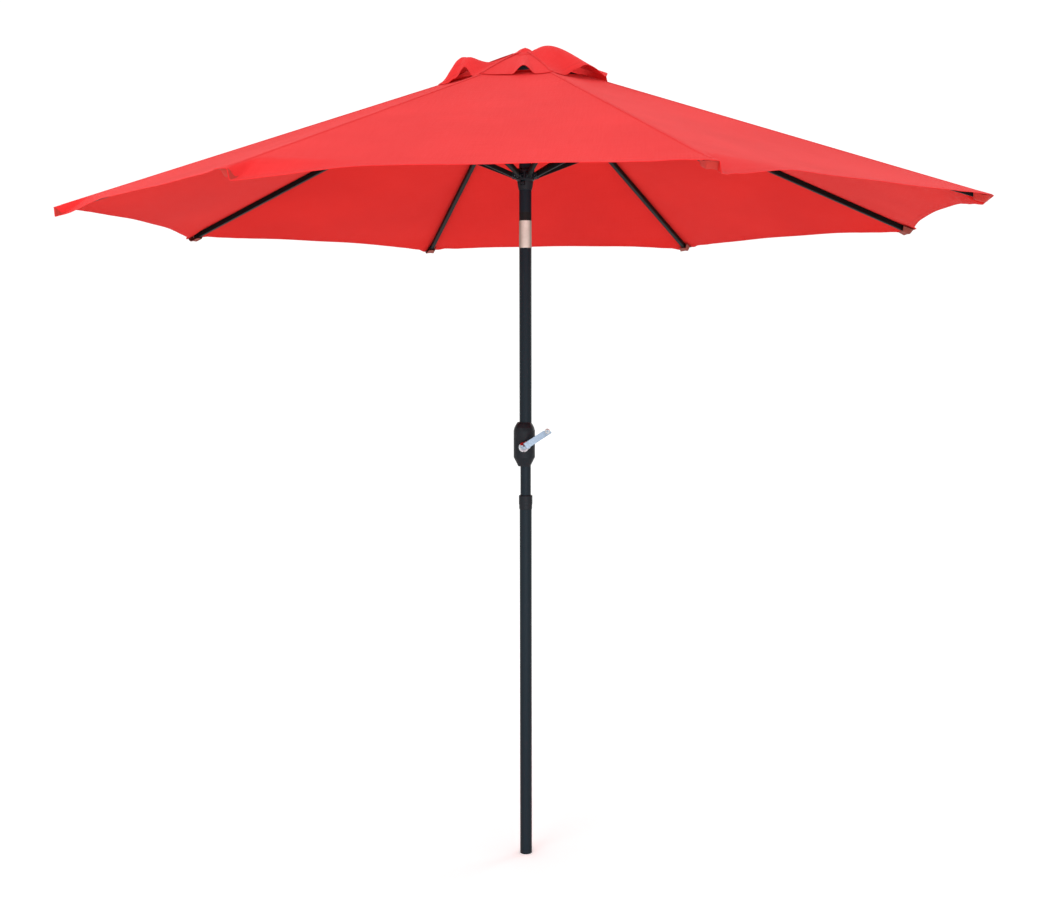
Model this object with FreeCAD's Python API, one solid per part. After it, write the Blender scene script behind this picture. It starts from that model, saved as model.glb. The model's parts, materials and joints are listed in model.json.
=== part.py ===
import os

import FreeCAD
import Part
from math import asin, cos, degrees, pi, radians, sin, sqrt, tan

# Crank-lift patio umbrella, 2.7 m across, on a two-piece 38 mm pole.
# +Z is up, the origin is the centre of the pole's lower end, millimetres.
# The crank faces -Y. Canopy and ribs are shown open, the mast upright.

Vector = FreeCAD.Vector
X_AXIS = Vector(1, 0, 0)
Y_AXIS = Vector(0, 1, 0)
Z_AXIS = Vector(0, 0, 1)

# ---------- driving dimensions ----------

POLE_R = 19.0
POLE_WALL = 1.1
RUNNING = 0.05            # radial clearance of a turning pin or shaft
GAP = 0.4                 # clearance between faces that pass each other

# lower pole and the collar where the upper pole plugs in
FOOT_LIP = 6.0
COLLAR_BOTTOM = 1111.0    # also the top of the lower pole
COLLAR_STEP = 1124.0
COLLAR_TOP = 1155.5
COLLAR_R = 21.5
BUSH_BOTTOM = 1085.0      # the collar's bush inside the lower pole
BUSH_BORE_R = 16.9
SPIGOT_END = 1000.0
BEAD_R = 15.0             # rolled bead that the spigot stands on
BEAD_LENGTH = 14.0
NECK_R = 16.5             # tube from the lower pole to the crank housing
NECK_WALL = 1.5

# crank housing
HOUSING_X = -4.0
HOUSING_R = 33.5
HOUSING_BOTTOM = 1247.0
HOUSING_CONE_TOP = 1275.0
HOUSING_SHOULDER = 1358.0
HOUSING_TOP = 1385.0
HOUSING_WALL = 3.5
HOUSING_FOOT_R = 21.5
TUBE_INSERT = 20.0        # how far each tube reaches into the housing
CORD_WAY_R = 11.0         # way for the lift cord up through the mast
SCREW_REACH = 21.5
SCREW_LEVELS = (1281.0, 1343.0)
SCREW_R = 1.75
SCREW_HEAD_R = 3.2
SCREW_HEAD_BACK = 25.0

# crank
CRANK_X = -6.0
CRANK_Z = 1310.0
SHAFT_R = 5.0
SPOOL_R = 12.5
SPOOL_FLANGE_R = 20.0
SHAFT_END = 27.0
BOSS_R = 15.0
BOSS_BACK = -37.5
BOSS_DEPTH = 12.0
BOSS_DOME_R = 17.5
ARM_ANGLE = 33.0
ARM_LENGTH = 82.0
ARM_WIDTH = 19.5
ARM_DEPTH = 9.0
ARM_WALL = 1.8
ARM_BACK = -47.0
KNOB_REACH = 89.0
KNOB_R = 7.5
KNOB_RISE = 2.5           # knob pin above the arm's middle
KNOB_PIN_R = 2.0
KNOB_LENGTH = 24.0

# tilt joint
TILT_Z = 2008.0
FERRULE_BOTTOM = 1923.0
FERRULE_TOP = 2006.0
MAST_PLUG_R = POLE_R - POLE_WALL
TONGUE_HALF = 8.0
TONGUE_R = 10.0
CHEEK_OUT = 14.0
CHEEK_R = 9.0
TILT_PIN_R = 3.0
TILT_RELIEF = 34.0        # slope of the relief behind the pivot, degrees
CHEEK_GAP = 0.3           # between the tongue and each cheek
FERRULE_WALL = 1.4
PLUG_LENGTH = 40.0
FORK_TOP = 2032.0
FORK_PLUG = 30.0

# tilt button
BUTTON_Z = 2119.0
BUTTON_AZIMUTH = 250.0
BUTTON_R = 5.5
BUTTON_TIP = 26.3
BUTTON_BACK = 12.5
BUTTON_FLANGE_R = 7.5

# canopy frame
RIBS = 8
RIB_AZIMUTH = 16.67
RIB_SLOPE = 19.6          # open ribs fall outwards by this angle
HINGE_R = 36.0            # radius of the hub pivots and of the runner pivots
HUB_Z = 2474.0
STRUT_LENGTH = 451.6
STRUT_DROP = 15.5         # strut pivot below the rib's centre line
RIB_END = 1372.0
RIB_WIDTH = 14.0
RIB_HEIGHT = 16.0
RIB_WALL = 0.7
TIP_LENGTH = 13.0
STRUT_WIDTH = 13.0
STRUT_HEIGHT = 14.0
EYE_HALF = 5.0
EAR_IN = 5.3
EAR_OUT = 8.3
EAR_R = 8.5
HUB_PIN_R = 2.0
RIB_PIN_R = 2.5
RIB_START = 14.0
HUB_CORE_R = 26.0
HUB_TOP = HUB_Z + 18
PULLEY_X = -7.0
PULLEY_Z = HUB_Z - 18
PULLEY_R = 9.0
TRUNNION_R = 2.0
STEM_R = 4.0              # stem of the top button

# runner
RUNNER_BORE_R = POLE_R + 0.5
RUNNER_R = 28.4
SKIRT_BOTTOM = 2100.0
BODY_BOTTOM = 2126.0
BODY_TOP = 2164.0
KEYWAY_R = 26.9

# fabric
CANOPY_R = 1370.0
CANOPY_APEX = 2500.0
CLOTH = 0.6
CLOTH_CLEAR = 1.2         # air between the ribs and the fabric
VENT_R = 190.0
EDGE_SCOOP = 45.0
CAP_R = 272.0
CAP_APEX_LIFT = 20.0
CAP_CORNER_LIFT = 5.0
CAP_PUFF = 46.0
CAP_RINGS = 4

# ---------- worked-out values ----------

SLOPE = radians(RIB_SLOPE)
RIB_PIVOT_X = sqrt(STRUT_LENGTH**2 - STRUT_DROP**2)
STRUT_SLOPE = SLOPE + asin(STRUT_DROP / STRUT_LENGTH)
RUNNER_Z = HUB_Z - 2 * STRUT_LENGTH * sin(STRUT_SLOPE)
SECTOR = 360.0 / RIBS
HALF_SECTOR = radians(SECTOR / 2)


# ---------- shape helpers ----------

def save(name, *solids):
    """Write one node; its solids are checked first."""
    for solid in solids:
        if solid.ShapeType != "Solid" or not solid.isValid() or solid.Volume <= 0:
            raise ValueError(name + " is not a sound solid")
    shape = solids[0] if len(solids) == 1 else Part.makeCompound(list(solids))
    shape.exportStep("parts/" + name + ".step")


def one(shape):
    """The single solid of a shape."""
    shape = shape.removeSplitter()
    if len(shape.Solids) != 1:
        raise ValueError("expected one solid, got %d" % len(shape.Solids))
    return shape.Solids[0]


def turned(*outline, x=0.0):
    """A solid of revolution about the vertical line at x, from (radius, z) points."""
    points = [Vector(r, 0, z) for r, z in outline]
    face = Part.Face(Part.makePolygon(points + points[:1]))
    solid = face.revolve(Vector(0, 0, 0), Z_AXIS, 360)
    solid = solid if solid.ShapeType == "Solid" else Part.Solid(solid)
    return solid.translated(Vector(x, 0, 0))


def disc(r, bottom, top, x=0.0, y=0.0):
    return Part.makeCylinder(r, top - bottom, Vector(x, y, bottom))


def ring(r_in, r_out, bottom, top, x=0.0):
    return disc(r_out, bottom, top, x).cut(disc(r_in, bottom - 1, top + 1, x))


def box(x0, x1, y0, y1, z0, z1):
    return Part.makeBox(x1 - x0, y1 - y0, z1 - z0, Vector(x0, y0, z0))


def rod_x(r, x0, x1, y=0.0, z=0.0):
    return Part.makeCylinder(r, x1 - x0, Vector(x0, y, z), X_AXIS)


def rod_y(r, y0, y1, x=0.0, z=0.0):
    return Part.makeCylinder(r, y1 - y0, Vector(x, y0, z), Y_AXIS)


def joined(first, *others):
    for other in others:
        first = first.fuse(other)
    return first


def cut_from(first, *others):
    for other in others:
        first = first.cut(other)
    return first


def rounded_bar(x0, x1, width, height, radius):
    """A bar along X whose four long edges are rounded."""
    bar = box(x0, x1, -width / 2, width / 2, -height / 2, height / 2)
    long_edges = [e for e in bar.Edges if abs(e.Length - (x1 - x0)) < 1e-6]
    return bar.makeFillet(radius, long_edges)


def azimuth_of(i):
    return RIB_AZIMUTH + SECTOR * i


def around(shape, azimuth):
    return shape.rotated(Vector(0, 0, 0), Z_AXIS, azimuth)


def every_sector(shape):
    return [around(shape, azimuth_of(i)) for i in range(RIBS)]


def coil(radius, wire_r, length, turns):
    """A close round-wire spring along +Z from the origin."""
    helix = Part.makeHelix(length / turns, length, radius)
    circle = Part.makeCircle(wire_r, Vector(radius, 0, 0), Y_AXIS)
    return Part.Wire(helix).makePipeShell([Part.Wire(circle)], True, True)


# ---------- lower pole ----------

def lower_pole():
    inner = POLE_R - POLE_WALL
    bead_bottom = SPIGOT_END - BEAD_LENGTH
    return turned(
        (inner, 0), (POLE_R, 0), (POLE_R, COLLAR_BOTTOM), (inner, COLLAR_BOTTOM),
        (inner, SPIGOT_END), (BEAD_R, SPIGOT_END), (BEAD_R, bead_bottom + 4), (inner, bead_bottom))


def foot_plug():
    plug_r = POLE_R - POLE_WALL
    plug = turned(
        (0, 3), (0, FOOT_LIP + 22), (plug_r - 2, FOOT_LIP + 22), (plug_r, FOOT_LIP + 18),
        (plug_r, 0), (9, 0), (9, 3))
    return cut_from(plug, disc(plug_r - 4, FOOT_LIP + 4, FOOT_LIP + 30))


def pole_collar():
    """Moulded collar on the lower pole's end, with the bush that guides the upper pole."""
    step_r = COLLAR_R - 1.0
    bush_r = POLE_R - POLE_WALL
    return turned(
        (BUSH_BORE_R, BUSH_BOTTOM), (bush_r, BUSH_BOTTOM), (bush_r, COLLAR_BOTTOM),
        (step_r - 0.8, COLLAR_BOTTOM), (step_r, COLLAR_BOTTOM + 3), (step_r, COLLAR_STEP),
        (COLLAR_R, COLLAR_STEP + 4), (COLLAR_R, COLLAR_TOP - 2), (COLLAR_R - 2, COLLAR_TOP),
        (BUSH_BORE_R, COLLAR_TOP))


# ---------- upper pole and crank housing ----------

def joint_tube():
    return ring(NECK_R - NECK_WALL, NECK_R, SPIGOT_END, HOUSING_BOTTOM + TUBE_INSERT)


def mast_tube():
    return ring(POLE_R - POLE_WALL, POLE_R, HOUSING_TOP - TUBE_INSERT, FERRULE_BOTTOM)


def housing_body():
    """Both shells in one, before the split."""
    outer = turned(
        (0, HOUSING_BOTTOM), (HOUSING_FOOT_R - 1.5, HOUSING_BOTTOM),
        (HOUSING_FOOT_R, HOUSING_BOTTOM + 4),
        (HOUSING_R, HOUSING_CONE_TOP), (HOUSING_R, HOUSING_SHOULDER),
        (HOUSING_R - 2.5, HOUSING_SHOULDER + 10), (HOUSING_R - 7, HOUSING_SHOULDER + 19),
        (HOUSING_R - 12.5, HOUSING_TOP), (0, HOUSING_TOP), x=HOUSING_X)
    cavity = disc(HOUSING_R - HOUSING_WALL, HOUSING_BOTTOM + TUBE_INSERT + 5,
                  HOUSING_TOP - TUBE_INSERT - 12, HOUSING_X)
    shell = cut_from(
        outer, cavity,
        disc(NECK_R, HOUSING_BOTTOM - 1, HOUSING_BOTTOM + TUBE_INSERT),
        disc(CORD_WAY_R, HOUSING_BOTTOM - 1, HOUSING_TOP + 1),
        disc(POLE_R, HOUSING_TOP - TUBE_INSERT, HOUSING_TOP + 1))
    front_boss = joined(
        rod_y(10, -HOUSING_R, -20, CRANK_X, CRANK_Z),
        rod_y(18, -HOUSING_R - 2.5, -28, CRANK_X, CRANK_Z))
    rear_boss = rod_y(10, 19, 31, CRANK_X, CRANK_Z)
    screw_bosses = [rod_y(4.5, -24, 24, x, z) for x, z in screw_places()]
    body = joined(shell, front_boss, rear_boss, *screw_bosses)
    shaft_hole = rod_y(SHAFT_R + RUNNING, -HOUSING_R - 10, SHAFT_END + 0.5, CRANK_X, CRANK_Z)
    return cut_from(body, shaft_hole, *[screw(x, z) for x, z in screw_places()],
                    *[rod_y(SCREW_HEAD_R + 0.2, SCREW_HEAD_BACK, 60, x, z) for x, z in screw_places()])


def screw_places():
    return [(HOUSING_X + side * SCREW_REACH, z) for side in (-1, 1) for z in SCREW_LEVELS]


def screw(x, z):
    shank = rod_y(SCREW_R, -14, SCREW_HEAD_BACK - 2, x, z)
    head = rod_y(SCREW_HEAD_R, SCREW_HEAD_BACK - 3, SCREW_HEAD_BACK, x, z)
    return joined(shank, head).removeSplitter()


def housing_half(body, front):
    low, high = (-60, 0) if front else (0, 60)
    return body.common(box(-60, 60, low, high, HOUSING_BOTTOM - 5, HOUSING_TOP + 5))


def crank_shaft():
    shaft = rod_y(SHAFT_R, BOSS_BACK, SHAFT_END, CRANK_X, CRANK_Z)
    flat = box(CRANK_X - 2, CRANK_X + 2, 8, 10, CRANK_Z - SHAFT_R - 1, CRANK_Z + SHAFT_R + 1)
    return cut_from(shaft, flat.common(rod_y(2.0, 0, 20, CRANK_X, CRANK_Z)))


def cord_spool():
    spool = joined(
        rod_y(SPOOL_R, -8, 17, CRANK_X, CRANK_Z),
        rod_y(SPOOL_FLANGE_R, -9, -6, CRANK_X, CRANK_Z),
        rod_y(SPOOL_FLANGE_R, 14, 17, CRANK_X, CRANK_Z))
    cord_eye = rod_x(1.6, CRANK_X - 21, CRANK_X, 4, CRANK_Z)
    return cut_from(spool, rod_y(SHAFT_R, -10, 20, CRANK_X, CRANK_Z), cord_eye)


def brake_spring():
    spring = coil(SHAFT_R + 1.4, 0.9, 7.4, 3.0)
    spring = spring.rotated(Vector(0, 0, 0), X_AXIS, 90)
    return spring.translated(Vector(CRANK_X, -10.9, CRANK_Z))


def crank_boss():
    """Chromed round head on the shaft with the socket that the arm leaves from."""
    head = disc(BOSS_R, 0, BOSS_DEPTH)
    drop = sqrt(BOSS_DOME_R**2 - BOSS_R**2)
    dome = Part.makeSphere(BOSS_DOME_R, Vector(0, 0, BOSS_DEPTH - drop))
    dome = dome.common(disc(BOSS_R, BOSS_DEPTH, BOSS_DEPTH + BOSS_DOME_R))
    head = joined(head, dome).removeSplitter()
    head = head.makeFillet(1.2, [e for e in head.Edges if on_level(e, 0.0)])
    head = head.rotated(Vector(0, 0, 0), X_AXIS, 90)
    socket = rounded_bar(7, 17, 25, 14, 3).rotated(Vector(0, 0, 0), X_AXIS, 90)
    socket = socket.translated(Vector(0, ARM_BACK - ARM_DEPTH / 2 - BOSS_BACK, 0))
    socket = socket.rotated(Vector(0, 0, 0), Y_AXIS, -ARM_ANGLE)
    boss = joined(head, socket).removeSplitter()
    boss = boss.translated(Vector(CRANK_X, BOSS_BACK, CRANK_Z))
    return cut_from(boss, arm_blank())


def on_level(edge, z):
    return edge.BoundBox.ZMax - z < 1e-6


def arm_place(shape):
    """From the arm's own frame, along +X with its face to -Y, onto the crank."""
    shape = shape.rotated(Vector(0, 0, 0), Y_AXIS, -ARM_ANGLE)
    return shape.translated(Vector(CRANK_X, 0, CRANK_Z))


def arm_blank():
    half = ARM_WIDTH / 2
    front = ARM_BACK - ARM_DEPTH
    return arm_place(box(10, ARM_LENGTH, front, ARM_BACK, -half, half))


def crank_arm():
    """A folded channel, open towards the pole, with a long lower flange at its end."""
    half = ARM_WIDTH / 2
    front = ARM_BACK - ARM_DEPTH
    arm = box(10, ARM_LENGTH + 15, front, ARM_BACK, -half, half)
    hollow = box(19, ARM_LENGTH + 20, front + ARM_WALL, ARM_BACK + 1, -half + ARM_WALL,
                 half - ARM_WALL)
    web_end = box(ARM_LENGTH, ARM_LENGTH + 20, front - 1, front + ARM_WALL, half - 12, half + 1)
    upper_end = box(ARM_LENGTH, ARM_LENGTH + 20, front - 1, ARM_BACK + 1, half - 3, half + 1)
    knob_seat = rod_y(KNOB_R + 0.6, front - 1, ARM_BACK + 1, KNOB_REACH, KNOB_RISE)
    arm = cut_from(arm, hollow, web_end, upper_end, knob_seat)
    bridge = box(ARM_LENGTH - 8, KNOB_REACH + 4, ARM_BACK - ARM_WALL, ARM_BACK, -half + 1, half - 3)
    pin_end = front - KNOB_LENGTH + 10
    pin = rod_y(KNOB_PIN_R, pin_end, ARM_BACK - 1, KNOB_REACH, KNOB_RISE)
    head = rod_y(KNOB_PIN_R + 1.4, pin_end - 1, pin_end, KNOB_REACH, KNOB_RISE)
    return arm_place(joined(arm, bridge, pin, head))


def crank_knob():
    """A pale grip that spins on the pin at the arm's end."""
    back = ARM_BACK - ARM_WALL - GAP
    front = ARM_BACK - ARM_DEPTH - KNOB_LENGTH + 10
    length = back - front
    grip = turned(
        (0, 0), (KNOB_R - 1.5, 0), (KNOB_R, 1.5), (KNOB_R - 0.8, length * 0.35),
        (KNOB_R, length - 3), (KNOB_R - 2, length), (0, length))
    grip = cut_from(
        grip, disc(KNOB_PIN_R + RUNNING, -1, length + 1),
        disc(KNOB_PIN_R + 1.6, length - 1.2, length + 1))
    grip = grip.rotated(Vector(0, 0, 0), X_AXIS, 90)
    return arm_place(grip.translated(Vector(KNOB_REACH, back, KNOB_RISE)))


# ---------- tilt joint ----------

def tilt_socket():
    """Die-cast piece in the lower mast's end: it carries the tongue and the pin."""
    body = joined(
        disc(MAST_PLUG_R, FERRULE_BOTTOM - PLUG_LENGTH, FERRULE_BOTTOM),
        disc(POLE_R - FERRULE_WALL, FERRULE_BOTTOM, FERRULE_TOP),
        disc(POLE_R, FERRULE_TOP, TILT_Z))
    tongue = rod_x(TONGUE_R, -TONGUE_HALF, TONGUE_HALF, 0, TILT_Z)
    neck = box(-TONGUE_HALF, TONGUE_HALF, -TONGUE_R, TONGUE_R, TILT_Z - TONGUE_R, TILT_Z)
    body = joined(body, tongue, neck)
    for side in (-1, 1):
        x0, x1 = sorted((side * TONGUE_HALF, side * (CHEEK_OUT + CHEEK_GAP)))
        body = cut_from(body, rod_x(CHEEK_R + GAP, x0, x1, 0, TILT_Z))
    hollow = disc(CORD_WAY_R, FERRULE_BOTTOM - PLUG_LENGTH - 1, TILT_Z - 24)
    pin_hole = rod_x(TILT_PIN_R, -16, 16, 0, TILT_Z)
    return one(cut_from(body, hollow, pin_hole))


def tilt_ferrule():
    return ring(POLE_R - FERRULE_WALL, POLE_R + 0.3, FERRULE_BOTTOM, FERRULE_TOP)


def tilt_pin():
    return rod_x(TILT_PIN_R, -CHEEK_OUT + 0.5, CHEEK_OUT - 0.5, 0, TILT_Z)


def tilt_fork():
    """Upper half of the tilt joint: two cheeks on the pin and a plug in the upper tube."""
    body = joined(
        disc(POLE_R, TILT_Z + 0.15, FORK_TOP),
        disc(MAST_PLUG_R, FORK_TOP, FORK_TOP + FORK_PLUG))
    rise = 2 * POLE_R * tan(radians(TILT_RELIEF))
    relief = Part.makePolygon([
        Vector(-30, 0, TILT_Z), Vector(-30, 2 * POLE_R, TILT_Z),
        Vector(-30, 2 * POLE_R, TILT_Z + rise), Vector(-30, 0, TILT_Z)])
    body = cut_from(body, Part.Face(relief).extrude(Vector(60, 0, 0)))
    for side in (-1, 1):
        x0, x1 = sorted((side * (TONGUE_HALF + CHEEK_GAP), side * CHEEK_OUT))
        body = joined(body, rod_x(CHEEK_R, x0, x1, 0, TILT_Z))
    slot_half = TONGUE_HALF + CHEEK_GAP
    slot_r = TONGUE_R + GAP
    slot = joined(
        rod_x(slot_r, -slot_half, slot_half, 0, TILT_Z),
        box(-slot_half, slot_half, -slot_r, slot_r, TILT_Z - 12, TILT_Z))
    pin_hole = rod_x(TILT_PIN_R + RUNNING, -16, 16, 0, TILT_Z)
    hollow = disc(CORD_WAY_R, TILT_Z + 16, FORK_TOP + FORK_PLUG + 1)
    return one(cut_from(body, slot, pin_hole, hollow))


def radial(shape, azimuth, z):
    """From along +Z to along the outward radius at this azimuth and height."""
    shape = shape.rotated(Vector(0, 0, 0), Y_AXIS, 90)
    return around(shape, azimuth).translated(Vector(0, 0, z))


def tilt_button():
    button = turned(
        (0, BUTTON_BACK), (BUTTON_FLANGE_R, BUTTON_BACK), (BUTTON_FLANGE_R, BUTTON_BACK + 2),
        (BUTTON_R, BUTTON_BACK + 2), (BUTTON_R, BUTTON_TIP - 1.2), (BUTTON_R - 1.2, BUTTON_TIP),
        (0, BUTTON_TIP))
    return radial(button, BUTTON_AZIMUTH, BUTTON_Z)


def button_spring():
    spring = coil(4.6, 0.6, 9.0, 4.5)
    return radial(spring.translated(Vector(0, 0, 2.4)), BUTTON_AZIMUTH, BUTTON_Z)


def upper_tube():
    tube = ring(POLE_R - POLE_WALL, POLE_R, FORK_TOP, HUB_Z + 12)
    button_hole = radial(disc(BUTTON_R + 0.2, 10, 30), BUTTON_AZIMUTH, BUTTON_Z)
    cord_slot = box(-30, -12, -3, 3, HUB_Z - 44, HUB_Z - 32)
    return one(cut_from(tube, button_hole, cord_slot))


# ---------- hub ----------

def clevis(z, core_r, bottom, top):
    """Two ears at azimuth 0 that hold an eye at the hinge radius."""
    ears = []
    for low, high in ((-EAR_OUT, -EAR_IN), (EAR_IN, EAR_OUT)):
        ear = joined(
            rod_y(EAR_R, low, high, HINGE_R, z),
            box(core_r - 5, HINGE_R, low, high, max(bottom, z - EAR_R), min(top, z + EAR_R)))
        ears.append(ear)
    return ears


def pins(z):
    return every_sector(rod_y(HUB_PIN_R, -EAR_OUT, EAR_OUT, HINGE_R, z))


def top_hub():
    hub = turned(
        (POLE_R, HUB_Z - 28), (POLE_R + 3, HUB_Z - 28), (HUB_CORE_R, HUB_Z - 14),
        (HUB_CORE_R, HUB_TOP - 2), (HUB_CORE_R - 2, HUB_TOP), (STEM_R, HUB_TOP),
        (STEM_R, HUB_Z + 12), (POLE_R, HUB_Z + 12))
    for i in range(RIBS):
        for ear in clevis(HUB_Z, HUB_CORE_R, HUB_Z - 12, HUB_TOP):
            hub = hub.fuse(around(ear, azimuth_of(i)))
    return one(cut_from(hub.fuse(pulley_block()), *pins(HUB_Z)))


def cord_pulley():
    """Small wheel in the mast's top, turned in one piece with its trunnions."""
    wheel = joined(
        rod_y(PULLEY_R, -4, -2.5, PULLEY_X, PULLEY_Z),
        rod_y(PULLEY_R - 2.5, -2.5, 2.5, PULLEY_X, PULLEY_Z),
        rod_y(PULLEY_R, 2.5, 4, PULLEY_X, PULLEY_Z),
        rod_y(TRUNNION_R, -9.5, 9.5, PULLEY_X, PULLEY_Z))
    return wheel.removeSplitter()


def pulley_block():
    """The hub's plug inside the tube, which carries the pulley's trunnions."""
    block = disc(MAST_PLUG_R, HUB_Z - 30, HUB_Z + 13)
    wheel_slot = box(-20, 8, -4.6, 4.6, HUB_Z - 31, HUB_Z + 2)
    stem_hole = disc(STEM_R, HUB_Z + 12, HUB_Z + 14)
    bearing = rod_y(TRUNNION_R + RUNNING, -10, 10, PULLEY_X, PULLEY_Z)
    return one(cut_from(block, wheel_slot, stem_hole, bearing))


def top_button():
    """Covered button that holds the vent cap's centre on the hub."""
    cap_z = CANOPY_APEX + CAP_APEX_LIFT
    return turned(
        (0, HUB_Z + 13), (STEM_R, HUB_Z + 13), (STEM_R, cap_z - 5), (2.5, cap_z - 4.5),
        (2.5, cap_z + 0.6), (13, cap_z + 0.6), (11.5, cap_z + 2.6), (6, cap_z + 3.6),
        (0, cap_z + 4.0))


# ---------- runner ----------

def runner():
    body = turned(
        (RUNNER_BORE_R, SKIRT_BOTTOM), (RUNNER_BORE_R + 1.3, SKIRT_BOTTOM),
        (24.2, BODY_BOTTOM - 6), (24.8, BODY_BOTTOM), (RUNNER_R, BODY_BOTTOM + 4),
        (RUNNER_R, BODY_TOP - 5), (RUNNER_R - 4, BODY_TOP), (RUNNER_BORE_R, BODY_TOP))
    for i in range(RIBS):
        for ear in clevis(RUNNER_Z, RUNNER_R, BODY_BOTTOM, BODY_TOP):
            body = body.fuse(around(ear, azimuth_of(i)))
    keyway = box(12, KEYWAY_R, -7.8, 7.8, BUTTON_Z - 7, BODY_TOP + 1)
    mouth = box(12, 32, -BUTTON_R - 0.5, BUTTON_R + 0.5, BUTTON_Z - 7, BODY_BOTTOM + 1)
    bore = disc(RUNNER_BORE_R, SKIRT_BOTTOM - 1, BODY_TOP + 1)
    return one(cut_from(body, bore, around(keyway, BUTTON_AZIMUTH), around(mouth, BUTTON_AZIMUTH),
                        *pins(RUNNER_Z)))


# ---------- ribs and struts, made at azimuth 0 ----------

def rib():
    """Rectangular steel tube with its hub eye and the bracket for the strut."""
    tube = rounded_bar(RIB_START, RIB_END, RIB_WIDTH, RIB_HEIGHT, 2.5)
    bore = rounded_bar(RIB_START + 12, RIB_END + 1, RIB_WIDTH - 2 * RIB_WALL,
                       RIB_HEIGHT - 2 * RIB_WALL, 1.5)
    eye = joined(
        rod_y(RIB_HEIGHT / 2, -EYE_HALF, EYE_HALF),
        box(0, RIB_START + 1, -EYE_HALF, EYE_HALF, -RIB_HEIGHT / 2, RIB_HEIGHT / 2))
    body = joined(cut_from(tube, bore), eye)
    px = RIB_PIVOT_X
    half = RIB_WIDTH / 2
    for low, high in ((-half - 2, -half), (half, half + 2)):
        plate = joined(
            box(px - 9, px + 9, low, high, -STRUT_DROP, 4),
            rod_y(7.0, low, high, px, -STRUT_DROP))
        body = body.fuse(plate)
    pin = rod_y(RIB_PIN_R, -half - 3.2, half + 3.2, px, -STRUT_DROP)
    body = joined(body, pin)
    body = cut_from(body, rod_y(HUB_PIN_R + RUNNING, -10, 10))
    return place_rib(one(body))


def place_rib(shape):
    shape = shape.rotated(Vector(0, 0, 0), Y_AXIS, RIB_SLOPE)
    return shape.translated(Vector(HINGE_R, 0, HUB_Z))


def rib_tip():
    """Moulded end that the canopy's pocket slips over."""
    plug = rounded_bar(RIB_END - 20, RIB_END + 1, RIB_WIDTH - 2 * RIB_WALL,
                       RIB_HEIGHT - 2 * RIB_WALL, 1.5)
    head = rounded_bar(RIB_END, RIB_END + TIP_LENGTH, RIB_WIDTH + 3, RIB_HEIGHT - 1, 3)
    ends = [e for e in head.Edges if e.BoundBox.XMin > RIB_END + TIP_LENGTH - 0.1]
    head = head.makeFillet(2.0, ends)
    return place_rib(one(joined(head, plug)))


def strut():
    inner_eye = RIB_HEIGHT / 2 - 1
    bar = rounded_bar(16, STRUT_LENGTH - 16, STRUT_WIDTH, STRUT_HEIGHT, 3)
    ends = []
    for x, side, half in ((0, 1, EYE_HALF), (STRUT_LENGTH, -1, RIB_WIDTH / 2 - 0.3)):
        x0, x1 = sorted((x, x + side * 17))
        ends.append(rod_y(inner_eye, -half, half, x))
        ends.append(box(x0, x1, -EYE_HALF, EYE_HALF, -inner_eye, inner_eye))
    bore = rounded_bar(30, STRUT_LENGTH - 30, STRUT_WIDTH - 2 * RIB_WALL,
                       STRUT_HEIGHT - 2 * RIB_WALL, 2)
    drains = [Part.makeCylinder(1.5, 9, Vector(x, 0, -9)) for x in (36, STRUT_LENGTH - 36)]
    body = cut_from(joined(bar, *ends), bore, *drains)
    body = cut_from(body, rod_y(HUB_PIN_R + RUNNING, -10, 10),
                    rod_y(RIB_PIN_R + RUNNING, -10, 10, STRUT_LENGTH))
    body = one(body).rotated(Vector(0, 0, 0), Y_AXIS, -degrees(STRUT_SLOPE))
    return body.translated(Vector(HINGE_R, 0, RUNNER_Z))


# ---------- fabric ----------

def fabric_point(r_rib, share, lift=0.0):
    """On the flat gore from rib (share 0) to rib (share 1), at this rib radius."""
    a = Vector(r_rib, 0, 0)
    b = Vector(r_rib * cos(2 * HALF_SECTOR), r_rib * sin(2 * HALF_SECTOR), 0)
    p = a + (b - a) * share
    return Vector(p.x, p.y, CANOPY_APEX - r_rib * tan(SLOPE) + lift)


def canopy_gore():
    """One wedge of canopy between two ribs: vent opening at the top, scooped hem."""
    tip_a = fabric_point(CANOPY_R, 0)
    tip_b = fabric_point(CANOPY_R, 1)
    top_a = fabric_point(VENT_R, 0)
    top_b = fabric_point(VENT_R, 1)
    centre = (tip_a + tip_b) * 0.5
    up_slope = (fabric_point(VENT_R, 0.5) - centre).normalize()
    hem = Part.Arc(tip_a, centre + up_slope * EDGE_SCOOP, tip_b).toShape()
    outline = Part.Wire([
        hem, Part.makeLine(tip_b, top_b), Part.makeLine(top_b, top_a),
        Part.makeLine(top_a, tip_a)])
    face = Part.Face(outline)
    normal = (tip_b - tip_a).cross(up_slope).normalize()
    normal = normal if normal.z > 0 else -normal
    return face.extrude(normal * CLOTH).translated(Vector(0, 0, CLOTH_CLEAR))


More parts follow.
